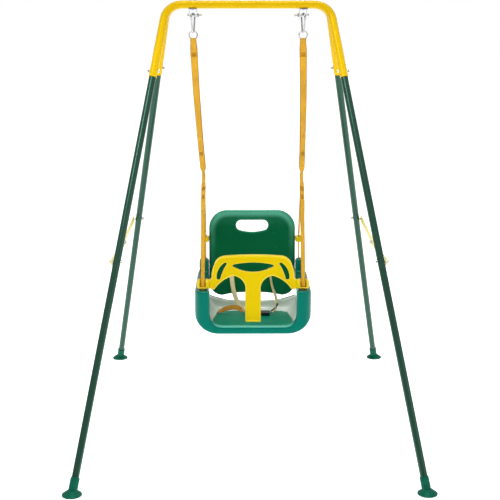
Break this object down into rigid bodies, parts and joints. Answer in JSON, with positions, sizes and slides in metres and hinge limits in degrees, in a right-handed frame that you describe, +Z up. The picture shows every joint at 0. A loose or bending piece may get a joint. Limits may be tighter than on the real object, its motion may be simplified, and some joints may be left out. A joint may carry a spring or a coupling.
{
  "type": "toddler swing set",
  "caption": "Folding A-frame toddler swing: yellow and green steel tube frame, bucket seat with backrest and T bar on webbing",
  "frame": {"origin": "on the ground, at the middle of the four feet", "axes": "+X across the frame to the right, -Y the side the child faces, +Z up"},
  "size_m": [0.93, 1.17, 1.203],
  "materials": {
    "yellow_paint": "gloss powder coat over steel tube",
    "green_paint": "dark green gloss powder coat over steel tube",
    "green_rubber": "satin moulded green foot",
    "yellow_links": "pale yellow powder coat on flat bar",
    "zinc_steel": "bright zinc plate",
    "seat_plastic": "glossy blow-moulded green plastic",
    "yellow_plastic": "glossy yellow moulded plastic",
    "orange_webbing": "woven polyester webbing",
    "harness_webbing": "narrow woven harness webbing",
    "black_plastic": "black moulded buckle"
  },
  "bodies": {
    "front_frame": {"front_brace_bolts": "zinc_steel", "front_foot_l": "green_rubber", "front_foot_r": "green_rubber", "front_lower_leg_l": "green_paint", "front_lower_leg_r": "green_paint", "front_socket_bolts": "zinc_steel", "front_socket_nuts": "zinc_steel", "front_top_tube": "yellow_paint", "front_upper_leg_l": "green_paint", "front_upper_leg_r": "green_paint", "hanger_bolts": "zinc_steel", "hanger_bracket_l": "zinc_steel", "hanger_bracket_r": "zinc_steel", "hanger_nuts": "zinc_steel", "hanger_rivets": "zinc_steel"},
    "rear_frame": {"rear_brace_bolts": "zinc_steel", "rear_brace_nuts": "zinc_steel", "rear_foot_l": "green_rubber", "rear_foot_r": "green_rubber", "rear_lower_leg_l": "green_paint", "rear_lower_leg_r": "green_paint", "rear_socket_bolts": "zinc_steel", "rear_socket_nuts": "zinc_steel", "rear_top_tube": "yellow_paint", "rear_upper_leg_l": "green_paint", "rear_upper_leg_r": "green_paint"},
    "brace_rear_l": {"brace_rear_link_l": "yellow_links", "brace_middle_bolt_l": "zinc_steel", "brace_middle_nut_l": "zinc_steel"},
    "brace_rear_r": {"brace_rear_link_r": "yellow_links", "brace_middle_bolt_r": "zinc_steel", "brace_middle_nut_r": "zinc_steel"},
    "brace_front_l": {"brace_front_link_l": "yellow_links", "brace_front_nut_l": "zinc_steel"},
    "brace_front_r": {"brace_front_link_r": "yellow_links", "brace_front_nut_r": "zinc_steel"},
    "swing": {"backrest": "seat_plastic", "backrest_pins": "zinc_steel", "buckle_body": "black_plastic", "carabiner_l": "zinc_steel", "carabiner_r": "zinc_steel", "front_strap_l": "orange_webbing", "front_strap_r": "orange_webbing", "hanger_ring_l": "zinc_steel", "hanger_ring_r": "zinc_steel", "hanging_webbing_l": "orange_webbing", "hanging_webbing_r": "orange_webbing", "lap_strap_l": "harness_webbing", "rear_strap_l": "orange_webbing", "rear_strap_r": "orange_webbing", "seat_shell": "seat_plastic", "shoulder_strap_l": "harness_webbing", "shoulder_strap_r": "harness_webbing", "strap_anchor_pins": "zinc_steel", "strap_knob_l": "yellow_plastic", "strap_knob_r": "yellow_plastic"},
    "t_bar": {"t_bar": "yellow_plastic"},
    "gate_l": {"carabiner_gate_l": "zinc_steel"},
    "gate_r": {"carabiner_gate_r": "zinc_steel"},
    "buckle_button": {"buckle_button": "black_plastic"}
  },
  "joints": [
    {"name": "frame_fold", "type": "hinge", "parent": "front_frame", "child": "rear_frame", "pos_m": [0, 0.0125, 1.19], "axis": [-1, 0, 0], "range_deg": [0, 46]},
    {"name": "swing", "type": "hinge", "parent": "front_frame", "child": "swing", "pos_m": [0, 0, 1.1605], "axis": [1, 0, 0], "range_deg": [-45, 45]},
    {"name": "t_bar_slide", "type": "slide", "parent": "swing", "child": "t_bar", "axis": [0, 0.3779, 0.9258], "range_m": [0, 0.18]},
    {"name": "buckle_press", "type": "slide", "parent": "swing", "child": "buckle_button", "axis": [0, 0, -1], "range_m": [0, 0.002], "stiffness_N_per_m": 500},
    {"name": "brace_rear_pivot_l", "type": "hinge", "parent": "rear_frame", "child": "brace_rear_l", "pos_m": [-0.3583, 0.31385, 0.535], "axis": [-1, 0, 0], "range_deg": [0, 55]},
    {"name": "brace_middle_pivot_l", "type": "hinge", "parent": "brace_rear_l", "child": "brace_front_l", "pos_m": [-0.357, 0, 0.523], "axis": [1, 0, 0], "range_deg": [0, 173]},
    {"name": "gate_l", "type": "hinge", "parent": "swing", "child": "gate_l", "pos_m": [-0.15469, -0.00528, 1.12664], "axis": [-0.891, 0.454, 0], "range_deg": [0, 22], "stiffness_Nm_per_rad": 0.02},
    {"name": "brace_rear_pivot_r", "type": "hinge", "parent": "rear_frame", "child": "brace_rear_r", "pos_m": [0.3583, 0.31385, 0.535], "axis": [-1, 0, 0], "range_deg": [0, 55]},
    {"name": "brace_middle_pivot_r", "type": "hinge", "parent": "brace_rear_r", "child": "brace_front_r", "pos_m": [0.357, 0, 0.523], "axis": [1, 0, 0], "range_deg": [0, 173]},
    {"name": "gate_r", "type": "hinge", "parent": "swing", "child": "gate_r", "pos_m": [0.15469, -0.00528, 1.12664], "axis": [-0.891, -0.454, 0], "range_deg": [0, 22], "stiffness_Nm_per_rad": 0.02}
  ],
  "couplings": [
    {"joint": "brace_rear_pivot_l", "follows": "frame_fold", "ratio": 1.1885},
    {"joint": "brace_middle_pivot_l", "follows": "frame_fold", "ratio": 3.7433},
    {"joint": "brace_rear_pivot_r", "follows": "frame_fold", "ratio": 1.1885},
    {"joint": "brace_middle_pivot_r", "follows": "frame_fold", "ratio": 3.7433}
  ]
}
